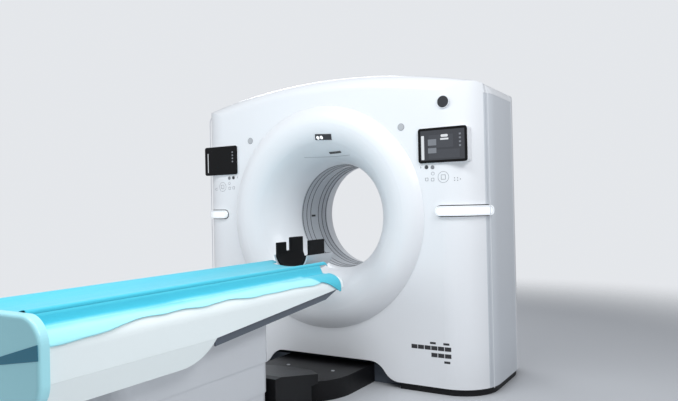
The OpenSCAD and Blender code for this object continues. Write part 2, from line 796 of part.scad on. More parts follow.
// Skirt under the foot half, rounded up into the panels
module skirt_side(i) {
    foot = panel_foot_y + fit + i;
    centre_y = skirt_head_y - 212 - i;
    intersection() {
        translate([foot, skirt_low_z + i]) square([skirt_head_y - foot + 100, panel_low_z - fit - skirt_low_z - i]);
        union() {
            translate([foot, 0]) square([centre_y - foot, big]);
            translate([centre_y, skirt_low_z + skirt_round]) circle(skirt_round - i);
        }
    }
}

module table_skirt() color("azure") difference() {
    along_x(-panel_half, panel_half) skirt_side(0);
    for (z = [0, 10]) along_x(-panel_half + panel_t, panel_half - panel_t) translate([0, z]) skirt_side(panel_t);
    translate([0, shroud_mid_y, 0]) linear_extrude(big) square([2 * shroud_half + 12, shroud_len + 12], center = true);
}

// Foot end, a moulding whose outer edge is rounded
module end_cap() color("lightcyan") {
    height = rim_z - skirt_low_z;
    soft = 14;
    hull() for (a = [0 : 18 : 90]) {
        inset = soft * (1 - cos(a));
        along_y(panel_foot_y - 40 + soft * (1 - sin(a)), panel_foot_y)
            translate([0, skirt_low_z + height / 2])
                rounded_rect(2 * (end_half - inset), height - 2 * inset, 100 - inset, $fn = 64);
    }
}

// Cloth over the shoulders of the side panels
module side_cloths() color("paleturquoise") both_sides() along_y(panel_foot_y + 20, nose_y - 20) {
    centre = [panel_half - panel_r, panel_top_z - panel_r];
    arc_band(centre, panel_r + fit, panel_r + fit + sheet_t, 10, 90);
    translate([frame_half - 32, panel_top_z + fit]) square([centre[0] - frame_half + 32, sheet_t]);
}

// Cradle and what lies on it
module cradle() color("lightgray") along_y(cradle_foot_y, cradle_head_y) {
    intersection() {
        translate([0, iso_h]) ring2d(cradle_r - cradle_wall, cradle_r);
        translate([-cradle_half, 0]) square([2 * cradle_half, iso_h]);
    }
}

module mattress_top(off) {
    r = (pow(mattress_half, 2) + pow(mattress_dip, 2)) / (2 * mattress_dip);
    translate([0, rim_z - mattress_dip + r]) circle(r - off, $fn = 360);
}

module mattress() color("gray") along_y(cradle_foot_y + 10, mattress_head_y) difference() {
    intersection() {
        translate([0, iso_h]) circle(cradle_r - cradle_wall - fit, $fn = 360);
        translate([-mattress_half, 0]) square([2 * mattress_half, rim_z]);
    }
    mattress_top(0);
}

module sheet() color("turquoise") difference() {
    along_y(cradle_foot_y - 8, nose_y) {
        half = cradle_half + fit + sheet_t;
        difference() {
            intersection() {
                mattress_top(fit);
                translate([-mattress_half, 0]) square([2 * mattress_half, big]);
            }
            mattress_top(fit + sheet_t);
            translate([-big, rim_z + fit + sheet_t]) square([2 * big, big]);
        }
        for (s = [0, 1]) mirror([s, 0]) {
            translate([mattress_half - 8, rim_z + fit]) square([half - mattress_half + 8, sheet_t]);
            translate([cradle_half + fit, rim_z - 24]) square([sheet_t, 24 + fit + sheet_t]);
        }
    }
    block(-holder_r - 7, holder_r + 7, mattress_head_y - 3, 0, 0, big);
}

// Head holder: a trough whose tongue lies in the cradle's end
module holder_outline(r_out, r_in, top) difference() {
    union() {
        translate([0, holder_z]) circle(r_out);
        translate([-r_out, holder_z]) square([2 * r_out, top - holder_z]);
    }
    translate([0, holder_z]) circle(r_in);
    translate([-r_in, holder_z]) square([2 * r_in, big]);
    translate([-big, top]) square([2 * big, big]);
}

module head_holder_shell() color("silver") {
    along_y(holder_foot_y, holder_head_y) holder_outline(holder_r, holder_r - holder_wall, holder_z - 20);
    along_y(holder_foot_y - tongue_len, holder_foot_y + 1) intersection() {
        translate([0, iso_h]) circle(cradle_r - cradle_wall - fit, $fn = 360);
        translate([-55, 0]) square([110, holder_z - holder_r + 14]);
    }
}

module head_holder_pads() color("black") {
    r_out = holder_r - holder_wall - loose;
    along_y(holder_foot_y + 4, holder_head_y - 4) holder_outline(r_out, r_out - pad_t, holder_z - 20);
    // Pads above the shell: two prongs on the left, one long pad on the right
    left = [-r_out + 3, -r_out + pad_t];
    block(left[0], left[1], holder_foot_y + 4, holder_head_y - 4, holder_z - 21, holder_z);
    block(left[0], left[1], holder_foot_y + 4, holder_foot_y + 96, holder_z - 1, holder_z + 54);
    block(left[0], left[1], holder_foot_y + 139, holder_head_y - 4, holder_z - 1, holder_z + 80);
    block(-left[1], -left[0], holder_foot_y + 37, holder_foot_y + 202, holder_z - 21, holder_z + 68);
}

base_frame();
plinth();
stationary_frame();
bearing_outer_ring();
bearing_inner_ring();
rotor_drum();
tube_housing();
tube_collimator();
high_voltage_generator();
heat_exchanger();
detector_arc();
detector_electronics();
counterweight();
slip_ring();
slip_ring_brushes();
drive_motor();
drive_pulley();
drive_belt();
front_cover();
rear_cover();
side_cover_left();
side_cover_right();
top_cover();
front_funnel();
rear_funnel();
bore_ring_front();
scan_window();
bore_ring_rear();
screen_pods();
screen_left();
screen_right();
light_bars();
front_windows();
plugs();
badge_disc();
start_key_left();
start_key_right();
stop_key_left();
stop_key_right();
dock_box();
table_base();
base_hood();
lower_shroud();
middle_shroud();
upper_shroud();
lift_column_lower();
lift_column_middle();
lift_column_upper();
table_frame();
glide_pads();
side_panels();
table_skirt();
nose_cap();
end_cap();
side_cloths();
cradle();
mattress();
sheet();
head_holder_shell();
head_holder_pads();
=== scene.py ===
"""Looks of a computed tomography scanner: paint, glass, cloth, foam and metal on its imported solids."""

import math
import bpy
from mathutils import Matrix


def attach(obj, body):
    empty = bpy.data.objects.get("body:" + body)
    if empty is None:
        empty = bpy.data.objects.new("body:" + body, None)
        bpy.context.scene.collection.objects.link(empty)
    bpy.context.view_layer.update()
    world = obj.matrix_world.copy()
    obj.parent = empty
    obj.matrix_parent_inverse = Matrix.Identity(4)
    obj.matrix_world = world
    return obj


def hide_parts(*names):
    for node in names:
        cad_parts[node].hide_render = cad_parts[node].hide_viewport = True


bl_info = {
    "name": "Tomography Scanner Looks",
    "version": (1, 0, 0),
    "blender": (4, 5, 0),
    "location": "View3D > Sidebar > Scanner",
    "description": "Builds the finishes, screens, cloths and pads of a computed tomography scanner",
    "category": "Add Mesh",
}

import bmesh
import bpy
from mathutils import Matrix, Vector, noise

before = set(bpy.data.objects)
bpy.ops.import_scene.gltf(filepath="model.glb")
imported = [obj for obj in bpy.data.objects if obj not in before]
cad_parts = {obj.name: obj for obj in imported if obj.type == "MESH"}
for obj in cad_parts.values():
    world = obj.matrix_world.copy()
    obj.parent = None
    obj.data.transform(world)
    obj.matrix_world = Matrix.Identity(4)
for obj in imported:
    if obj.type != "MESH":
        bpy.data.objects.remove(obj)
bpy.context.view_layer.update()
LOOKS = {}

# Places and radii of the gantry's solids, in metres
ISO = 1.040
FACE = 0.440
SIDE = 1.070
CORNER = 0.244
ARCH = 4.294
ARCH_ROUND = 0.070
CROWN = 1.931
SEAM_FRONT = -0.308
SEAM_REAR = 0.150
BAR_Z = 1.065
SCREEN_X = 0.842
SCREEN_Z = 1.447
SCREEN_FRONT = -0.4505

# The bore and the bulge round it
BORE = 0.350
MOUTH = 0.164
CREST = 0.600
CREST_ROUND = 0.180
CREST_PROUD = 0.055
RIDGE = 0.715

# Places and radii of the table's solids at rest
PANEL_TOP = 0.712
SHOULDER_X = 0.245
SHOULDER_ROUND = 0.070
RIM = 0.774
TROUGH = 0.3445
FOOT_Y = -2.600
FOOT_END = -2.594
NOSE_Y = -0.712
NOSE_ROUND = 0.045
NOSE_FLAT = 0.270


class ScannerColours(bpy.types.PropertyGroup):
    """Colours of the finishes"""

    cover: bpy.props.FloatVectorProperty(
        name="Cover", description="Paint of the front, rear and top covers", subtype="COLOR",
        size=3, min=0, max=1, default=(0.81, 0.825, 0.85))
    # The side covers' grey is partly their own grey-white tone and partly painted shade
    side: bpy.props.FloatVectorProperty(
        name="Side cover", description="Paint of the two side covers", subtype="COLOR",
        size=3, min=0, max=1, default=(0.62, 0.65, 0.69))
    sheet: bpy.props.FloatVectorProperty(
        name="Sheet", description="Cloth on the cradle", subtype="COLOR",
        size=3, min=0, max=1, default=(0.062, 0.56, 0.72))
    drape: bpy.props.FloatVectorProperty(
        name="Drape", description="Cloth over the table's shoulders", subtype="COLOR",
        size=3, min=0, max=1, default=(0.42, 0.86, 0.93))
    panel: bpy.props.FloatVectorProperty(
        name="Table panel", description="Paint of the table's side panels", subtype="COLOR",
        size=3, min=0, max=1, default=(0.88, 0.95, 0.955))
    end: bpy.props.FloatVectorProperty(
        name="End cap", description="Paint of the table's foot end", subtype="COLOR",
        size=3, min=0, max=1, default=(0.42, 0.83, 0.91))
    strip: bpy.props.FloatVectorProperty(
        name="End strip", description="Slanted strips on the foot end", subtype="COLOR",
        size=3, min=0, max=1, default=(0.016, 0.19, 0.29))


class ScannerSizes(bpy.types.PropertyGroup):
    """Sizes of the pieces that are added to the solids"""

    # The light line along the cover seams is a painted highlight of the covers' edges
    seam: bpy.props.FloatProperty(
        name="Seam trim", description="Width of the light line along the cover seams",
        unit="LENGTH", min=0.002, max=0.01, default=0.006)
    print_proud: bpy.props.FloatProperty(
        name="Print thickness", description="Thickness of the printed pads on the covers",
        unit="LENGTH", min=0.0002, max=0.002, default=0.0006)
    fold: bpy.props.FloatProperty(
        name="Cloth folds", description="Height of the folds in the cloths",
        unit="LENGTH", min=0.0, max=0.01, default=0.0035)


class Wire:
    """A socket of a shader; the operators on it add Math nodes."""

    def __init__(self, graph, socket):
        self.graph = graph
        self.socket = socket

    def __add__(self, other):
        return self.graph.math("ADD", self, other)

    __radd__ = __add__

    def __sub__(self, other):
        return self.graph.math("SUBTRACT", self, other)

    def __rsub__(self, other):
        return self.graph.math("SUBTRACT", other, self)

    def __mul__(self, other):
        return self.graph.math("MULTIPLY", self, other)

    def __pow__(self, other):
        return self.graph.math("POWER", self, other)


class Finish:
    """A material and the nodes that give it its look."""

    def __init__(self, name, **shader):
        self.material = bpy.data.materials.new(name)
        self.material.use_nodes = True
        self.nodes = self.material.node_tree.nodes
        self.links = self.material.node_tree.links
        self.nodes.clear()
        self.surface = self.nodes.new("ShaderNodeBsdfPrincipled")
        output = self.nodes.new("ShaderNodeOutputMaterial")
        self.links.new(self.surface.outputs[0], output.inputs["Surface"])
        for socket, value in shader.items():
            self.put(self.surface.inputs[socket.replace("_", " ")], value)
        LOOKS[name] = self.material

    def put(self, socket, value):
        """Gives a socket a value or a link."""
        if isinstance(value, Wire):
            self.links.new(value.socket, socket)
        elif isinstance(value, (tuple, list)) and len(value) == 3 and socket.type == "RGBA":
            socket.default_value = (*value, 1.0)
        else:
            socket.default_value = value

    def add(self, kind, settings=None, inputs=None, output=0):
        """Adds a node with its settings and its sockets' values or links."""
        node = self.nodes.new(kind)
        for key, value in (settings or {}).items():
            setattr(node, key, value)
        for key, value in (inputs or {}).items():
            self.put(node.inputs[key], value)
        return Wire(self, node.outputs[output])

    def math(self, operation, a, b=0.0):
        return self.add("ShaderNodeMath", {"operation": operation}, {0: a, 1: b})

    def place(self):
        return self.add("ShaderNodeTexCoord", output="Object")

    def along(self, axis):
        """The place along X, Y or Z, in metres."""
        return self.add("ShaderNodeSeparateXYZ", None, {0: self.place()}, axis)

    def noise(self, scale, detail=2.0, stretch=(1, 1, 1), roughness=0.5):
        moved = self.add("ShaderNodeMapping", None, {"Vector": self.place(), "Scale": stretch})
        return self.add("ShaderNodeTexNoise", None,
                        {"Vector": moved, "Scale": scale, "Detail": detail, "Roughness": roughness})

    def fade(self, value, low, high):
        """0 below low and 1 above high, smooth between them."""
        return self.add("ShaderNodeMapRange", {"interpolation_type": "SMOOTHSTEP"},
                        {"Value": value, "From Min": low, "From Max": high})

    def mix(self, factor, a, b):
        node = self.nodes.new("ShaderNodeMix")
        node.data_type = "RGBA"
        self.put(node.inputs[0], factor)
        self.put(node.inputs[6], a)
        self.put(node.inputs[7], b)
        return Wire(self, node.outputs[2])

    def bump(self, height, strength, distance):
        normal = self.add("ShaderNodeBump", None,
                          {"Height": height, "Strength": strength, "Distance": distance})
        self.put(self.surface.inputs["Normal"], normal)

    def colour(self, value):
        self.put(self.surface.inputs["Base Color"], value)

    def rough(self, value):
        self.put(self.surface.inputs["Roughness"], value)


def dimmed(colour, share):
    return tuple(c * share for c in colour)


def painted(name, colour, rough=0.3, floor_dust_and_shade=0.10, coat=0.25):
    """Sprayed paint on a moulded cover: faint clouding, orange peel, and darkening near the floor that is
    partly dust and partly painted shade.
    """
    f = Finish(name, Coat_Weight=coat, Coat_Roughness=0.12, Specular_IOR_Level=0.45)
    cloud = f.noise(1.3, 3.0)
    fine = f.noise(38.0, 4.0, roughness=0.6)
    height = f.along(2)
    # Darker towards the floor: partly dust, partly painted shade
    low = 1 - f.fade(height, 0.05, 0.32)
    tone_dust_and_shade = low * floor_dust_and_shade + cloud * 0.05 + fine * 0.02
    f.colour(f.mix(tone_dust_and_shade, colour, dimmed(colour, 0.45)))
    f.rough(rough + fine * 0.05 + cloud * 0.04)
    f.bump(f.noise(420.0, 1.0), 0.05, 0.0004)
    return f.material


def moulded(name, colour, rough=0.42, grain=0.12, coat=0.0, shine=0.5):
    """Moulded plastic with a fine leathery grain and faint dust."""
    f = Finish(name, Coat_Weight=coat, Coat_Roughness=0.2, Specular_IOR_Level=shine)
    cloud = f.noise(3.5, 3.0)
    pits = f.add("ShaderNodeTexVoronoi", {"feature": "F1"}, {"Vector": f.place(), "Scale": 620.0})
    dust = f.noise(60.0, 5.0, roughness=0.7)
    f.colour(f.mix(cloud * 0.12 + dust * 0.05, colour, tuple(0.8 * c + 0.02 for c in colour)))
    f.rough(rough + dust * 0.12)
    f.bump(pits + dust * 0.3, grain, 0.0006)
    return f.material


def metal(name, colour, rough=0.3, stretch=(1, 60, 1), scale=14.0, streak=0.25):
    """Ground or brushed metal, with streaks along one direction."""
    f = Finish(name, Metallic=1.0)
    lines = f.noise(scale, 3.0, stretch, 0.6)
    cloud = f.noise(4.0, 2.0)
    f.colour(f.mix(lines * streak + cloud * 0.12, colour, dimmed(colour, 0.55)))
    f.rough(rough + lines * 0.15)
    f.bump(lines, 0.08, 0.0005)
    return f.material


def enamelled(name, colour, rough=0.38):
    """Powder coat or enamel on steel, with a hammered grain."""
    f = Finish(name, Metallic=0.1)
    grain = f.add("ShaderNodeTexVoronoi", {"feature": "SMOOTH_F1"}, {"Vector": f.place(), "Scale": 260.0})
    cloud = f.noise(5.0, 4.0)
    f.colour(f.mix(cloud * 0.25, colour, dimmed(colour, 0.6)))
    f.rough(rough + cloud * 0.1)
    f.bump(grain, 0.15, 0.0006)
    return f.material


def glowing(name, colour, strength, base=(0.02, 0.02, 0.022), rough=0.12):
    """A lit field behind glass."""
    f = Finish(name, Emission_Strength=strength, Coat_Weight=0.6, Coat_Roughness=0.05)
    shade = f.noise(22.0, 1.0)
    f.colour(f.mix(shade * 0.3, base, dimmed(base, 0.6)))
    f.put(f.surface.inputs["Emission Color"], f.mix(shade * 0.25, colour, dimmed(colour, 0.7)))
    f.rough(rough + shade * 0.02)
    return f.material


def cloth_finish(name, top, edge=None, low=0.0, high=1.0, sheen=0.35):
    """Thin non-woven cloth: crossing fibres, soft creases and, where edge is given, a paler lower part
    that ends short of the table's nose."""
    f = Finish(name, Sheen_Weight=sheen, Sheen_Roughness=0.45, Specular_IOR_Level=0.25)
    fibres = f.noise(240.0, 3.0, (1.0, 0.12, 1.0), 0.7)
    cross = f.noise(260.0, 3.0, (0.12, 1.0, 1.0), 0.7)
    blot = f.noise(5.0, 4.0, (1.0, 0.45, 1.0), 0.6)
    crease = f.noise(9.0, 5.0, (1.6, 0.35, 1.0), 0.62)
    cloth = f.mix(blot * 0.35, top, dimmed(top, 0.72))
    if edge:
        nose = f.fade(f.along(1), NOSE_Y - 0.30, NOSE_Y - 0.10)
        height = f.along(2) + (blot - 0.5) * 0.018 + nose * 0.12
        cloth = f.mix(f.fade(height, low, high), edge, cloth)
    f.colour(f.mix(fibres * 0.16, cloth, tuple(min(1, 1.25 * c + 0.05) for c in top)))
    f.rough(0.62 + fibres * 0.2)
    f.bump(crease * 1.6 + (fibres + cross) * 0.10, 0.45, 0.004)
    return f.material


def foam_finish(name):
    """Closed-cell black foam with a skin that has rubbed matt."""
    f = Finish(name, Specular_IOR_Level=0.15)
    cells = f.add("ShaderNodeTexVoronoi", {"feature": "F1"}, {"Vector": f.place(), "Scale": 480.0})
    rub = f.noise(14.0, 4.0)
    f.colour(f.mix(rub * 0.5, (0.005, 0.005, 0.0055), (0.016, 0.016, 0.018)))
    f.rough(0.55 + rub * 0.2)
    f.bump(cells, 0.25, 0.0008)
    return f.material


def vinyl_finish(name):
    """Coated cloth of the mattress, with its shallow emboss."""
    f = Finish(name, Specular_IOR_Level=0.4)
    emboss = f.add("ShaderNodeTexVoronoi", {"feature": "DISTANCE_TO_EDGE"},
                   {"Vector": f.place(), "Scale": 300.0})
    wear = f.noise(6.0, 4.0)
    f.colour(f.mix(wear * 0.4, (0.055, 0.062, 0.075), (0.11, 0.12, 0.14)))
    f.rough(0.48 + wear * 0.12)
    f.bump(emboss, 0.3, 0.0006)
    return f.material


def film_finish(name):
    """The scan window's polyester film, a little hazy."""
    f = Finish(name, Coat_Weight=0.3, Coat_Roughness=0.1)
    haze = f.noise(7.0, 3.0, (1.0, 4.0, 1.0))
    f.colour(f.mix(haze * 0.3, (0.52, 0.55, 0.58), (0.40, 0.43, 0.47)))
    f.rough(0.2 + haze * 0.1)
    f.bump(haze, 0.05, 0.002)
    return f.material


def floor_finish(name):
    """Pale sheet flooring that fades into the backdrop away from the scanner."""
    f = Finish(name, Specular_IOR_Level=0.3)
    fleck = f.noise(90.0, 3.0)
    cloud = f.noise(0.8, 2.0)
    f.colour(f.mix(fleck * 0.05 + cloud * 0.05, (0.56, 0.575, 0.60), (0.40, 0.41, 0.43)))
    f.rough(0.42 + cloud * 0.1)
    away = (f.along(0) * f.along(0) + f.along(1) * f.along(1)) ** 0.5
    f.put(f.surface.inputs["Alpha"], 1 - f.fade(away, 2.6, 5.6))
    return f.material


FINISH_OF = {
    "cover_white": ["front_cover", "rear_cover", "top_cover", "screen_pods", "front_funnel", "rear_funnel"],
    "cover_grey": ["side_cover_left", "side_cover_right"],
    "plinth_black": ["plinth"],
    "dock_black": ["dock_box", "base_hood"],
    "screen_glass": ["screen_left", "screen_right"],
    "bar_light": ["light_bars"],
    "trim_dark": ["front_windows", "badge_disc"],
    "trim_grey": ["plugs"],
    "ring_grey": ["bore_ring_front", "bore_ring_rear"],
    "window_film": ["scan_window"],
    "frame_steel": ["base_frame", "stationary_frame", "table_frame"],
    "bearing_steel": ["bearing_outer_ring", "bearing_inner_ring", "drive_pulley"],
    "drum_alu": ["rotor_drum"],
    "tube_metal": ["tube_housing"],
    "collimator_metal": ["tube_collimator"],
    "generator_blue": ["high_voltage_generator"],
    "fin_alu": ["heat_exchanger"],
    "detector_shell": ["detector_arc"],
    "board_green": ["detector_electronics"],
    "weight_iron": ["counterweight"],
    "ring_brass": ["slip_ring"],
    "brush_brown": ["slip_ring_brushes"],
    "motor_grey": ["drive_motor"],
    "belt_rubber": ["drive_belt"],
    "key_dark": ["start_key_left", "start_key_right"],
    "key_grey": ["stop_key_left", "stop_key_right"],
    "base_steel": ["table_base"],
    "shroud_silver": ["lower_shroud", "middle_shroud", "upper_shroud"],
    "column_steel": ["lift_column_lower", "lift_column_middle", "lift_column_upper"],
    "panel_white": ["side_panels", "nose_cap"],
    "skirt_tint": ["table_skirt"],
    "end_tint": ["end_cap"],
    "pad_white": ["glide_pads"],
    "cradle_shell": ["cradle"],
    "holder_silver": ["head_holder_shell"],
}


def make_finishes(colours):
    """All the materials, by the names that the record gives its slots."""
    painted("cover_white", tuple(colours.cover), 0.30, 0.10)
    # Side covers: their own grey-white tone, darkened further with painted shade
    painted("cover_grey", tuple(colours.side), 0.34, 0.14)
    painted("panel_white", tuple(colours.panel), 0.28, 0.0)
    painted("skirt_tint", dimmed(colours.panel, 0.9), 0.30, 0.0)
    painted("end_tint", tuple(colours.end), 0.32, 0.0)
    painted("end_strip", tuple(colours.strip), 0.34, 0.0)
    painted("shroud_silver", (0.62, 0.64, 0.67), 0.30, 0.05)
    painted("holder_silver", (0.50, 0.52, 0.55), 0.30, 0.0)
    moulded("plinth_black", (0.006, 0.006, 0.007), 0.5, shine=0.3)
    moulded("dock_black", (0.004, 0.004, 0.005), 0.30, 0.05, 0.0, 0.22)
    moulded("trim_dark", (0.025, 0.026, 0.030), 0.25, 0.04, 0.4)
    moulded("trim_grey", (0.45, 0.46, 0.48), 0.42)
    # Light trim; along the cover seams it serves as a painted highlight
    moulded("trim_light", (0.74, 0.76, 0.79), 0.36)
    moulded("print_grey", (0.19, 0.20, 0.22), 0.5, 0.02)
    moulded("print_dark", (0.03, 0.03, 0.034), 0.5, 0.02)
    moulded("key_dark", (0.05, 0.05, 0.055), 0.35)
    moulded("key_grey", (0.22, 0.225, 0.24), 0.38)
    moulded("ring_grey", (0.47, 0.495, 0.53), 0.28, 0.03, 0.3)
    moulded("groove_dark", (0.02, 0.02, 0.022), 0.5)
    moulded("board_green", (0.02, 0.10, 0.05), 0.45)
    moulded("brush_brown", (0.12, 0.06, 0.03), 0.5)
    moulded("belt_rubber", (0.014, 0.014, 0.014), 0.6, 0.3)
    moulded("pad_white", (0.66, 0.66, 0.64), 0.4)
    moulded("cradle_shell", (0.60, 0.61, 0.63), 0.38, 0.08)
    moulded("screen_glass", (0.002, 0.002, 0.0025), 0.10, 0.0, 0.1, 0.3)
    enamelled("frame_steel", (0.11, 0.13, 0.16))
    enamelled("tube_metal", (0.38, 0.39, 0.40))
    enamelled("collimator_metal", (0.035, 0.038, 0.043))
    enamelled("generator_blue", (0.04, 0.095, 0.19))
    enamelled("detector_shell", (0.17, 0.23, 0.27))
    enamelled("motor_grey", (0.15, 0.16, 0.18))
    enamelled("base_steel", (0.016, 0.016, 0.018))
    enamelled("weight_iron", (0.035, 0.035, 0.037), 0.55)
    metal("bearing_steel", (0.56, 0.57, 0.59), 0.24)
    metal("drum_alu", (0.66, 0.67, 0.69), 0.34, (1, 1, 1), 60.0)
    metal("fin_alu", (0.70, 0.71, 0.72), 0.36)
    metal("ring_brass", (0.60, 0.42, 0.18), 0.26)
    metal("column_steel", (0.54, 0.56, 0.58), 0.28, (60, 60, 1))
    glowing("bar_light", (0.93, 0.97, 1.0), 0.42, (0.80, 0.83, 0.86), 0.25)
    glowing("spot_light", (1.0, 1.0, 1.0), 0.7, (0.85, 0.86, 0.88), 0.3)
    glowing("display_field", (0.030, 0.033, 0.040), 1.0)
    glowing("display_white", (0.80, 0.84, 0.88), 0.95)
    glowing("display_grey", (0.20, 0.22, 0.25), 1.0)
    glowing("display_dim", (0.045, 0.050, 0.060), 1.0)
    film_finish("window_film")
    foam_finish("holder_foam")
    vinyl_finish("mattress_grey")
    cloth_finish("cloth_cyan", tuple(colours.sheet))
    cloth_finish("cloth_pale", tuple(colours.sheet), tuple(colours.drape),
                 PANEL_TOP - 0.004, PANEL_TOP + 0.016)


def mouth_y(x, z):
    """Front of the bulge round the bore at x and z."""
    r = math.hypot(x, z - ISO)
    depth = FACE + CREST_PROUD - MOUTH
    w = CREST - BORE
    flare = (w * w + depth * depth - 2 * depth * CREST_ROUND) / (2 * (w - CREST_ROUND))
    ridge = ((RIDGE - CREST) ** 2 + CREST_PROUD ** 2) / (2 * CREST_PROUD)
    cx, cy = BORE + flare, CREST_ROUND - depth - MOUTH
    turn = math.atan2(cy + MOUTH, CREST - cx)
    edge = cx + flare * math.cos(turn)
    if r >= CREST:
        return ridge - depth - MOUTH - math.sqrt(max(0.0, ridge * ridge - (r - CREST) ** 2))
    if r >= edge:
        return cy - math.sqrt(max(0.0, CREST_ROUND ** 2 - (r - CREST) ** 2))
    return -MOUTH - math.sqrt(max(0.0, flare * flare - (max(r, BORE) - cx) ** 2))


def finished(name, bm, body, look, angle=32.0):
    """Turns a bmesh into a piece that rides on a body."""
    bm.normal_update()
    for edge in bm.edges:
        edge.smooth = len(edge.link_faces) != 2 or edge.calc_face_angle(0) < math.radians(angle)
    for face in bm.faces:
        face.smooth = True
    mesh = bpy.data.meshes.new(name)
    bm.to_mesh(mesh)
    bm.free()
    for material in (look if isinstance(look, (list, tuple)) else [look]):
        mesh.materials.append(LOOKS[material])
    piece = bpy.data.objects.new(name, mesh)
    bpy.context.scene.collection.objects.link(piece)
    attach(piece, body)
    return piece


def plate_face(bm, width, height, corner=0.0, segments=5):
    """A flat plate in X and Z about the origin, with rounded corners."""
    made = bmesh.ops.create_grid(bm, x_segments=1, y_segments=1, size=0.5)["verts"]
    bmesh.ops.scale(bm, vec=(width, height, 1), verts=made)
    bmesh.ops.rotate(bm, matrix=Matrix.Rotation(math.radians(90), 3, "X"), verts=made)
    if corner > 0:
        made = bmesh.ops.bevel(bm, geom=made, offset=corner, offset_type="OFFSET", affect="VERTICES",
                               segments=segments, profile=0.5, material=-1)["verts"]
    return made


def disc_face(bm, radius, segments=40):
    made = bmesh.ops.create_circle(bm, cap_ends=True, segments=segments, radius=radius)["verts"]
    bmesh.ops.rotate(bm, matrix=Matrix.Rotation(math.radians(90), 3, "X"), verts=made)
    return made


def hollowed(bm, verts, width):
    """Leaves only the outer band of the flat face that verts bound."""
    faces = list({f for v in verts for f in v.link_faces})
    bmesh.ops.inset_region(bm, faces=faces, thickness=width, use_even_offset=True, use_boundary=True)
    bmesh.ops.delete(bm, geom=[f for f in faces if f.is_valid], context="FACES")


def on_cover(u, z, out):
    """A point on the front cover, u metres from its middle along the face, corner and side."""
    side = 1.0 if u >= 0 else -1.0
    flat, run = SIDE - CORNER, CORNER * math.pi / 2
    u = abs(u)
    if u <= flat:
        return Vector((side * u, -FACE - out, z))
    if u <= flat + run:
        a = (u - flat) / CORNER
        r = CORNER + out
        return Vector((side * (flat + r * math.sin(a)), CORNER - FACE - r * math.cos(a), z))
    return Vector((side * (SIDE + out), CORNER - FACE + u - flat - run, z))


def on_bulge(x, z, out):
    """A point on the front funnel."""
    return Vector((x, mouth_y(x, z) - out, z))


def upright(y):
    """A flat surface at y that faces the front."""
    return lambda x, z, out: Vector((x, y - out, z))


def lay_pads(bm, place, proud, step=0.012, sunk=0.0004):
    """Lays flat pads on a surface and gives them thickness."""
    low = min(v.co.x for v in bm.verts)
    high = max(v.co.x for v in bm.verts)
    for i in range(1, int((high - low) / step) + 1):
        bmesh.ops.bisect_plane(bm, geom=bm.verts[:] + bm.edges[:] + bm.faces[:], dist=1e-6,
                               plane_co=(low + i * step, 0, 0), plane_no=(1, 0, 0))
    bmesh.ops.recalc_face_normals(bm, faces=bm.faces[:])
    back = bm.verts[:]
    grown = bmesh.ops.extrude_face_region(bm, geom=bm.faces[:])["geom"]
    front = [v for v in grown if isinstance(v, bmesh.types.BMVert)]
    for v in back:
        v.co = place(v.co.x, v.co.z, -sunk)
    for v in front:
        v.co = place(v.co.x, v.co.z, proud)
    bmesh.ops.recalc_face_normals(bm, faces=bm.faces[:])


def moved(bm, verts, x, z):
    bmesh.ops.translate(bm, vec=(x, 0, z), verts=verts)
    return verts


class SCANNER_OT_finishes(bpy.types.Operator):
    """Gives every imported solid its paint, metal or plastic"""

    bl_idname = "scanner.finishes"
    bl_label = "Finishes"

    def execute(self, context):
        make_finishes(context.scene.scanner_colours)
        for finish, nodes in FINISH_OF.items():
            for node in nodes:
                for material_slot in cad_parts[node].material_slots:
                    material_slot.material = LOOKS[finish]
        return {"FINISHED"}


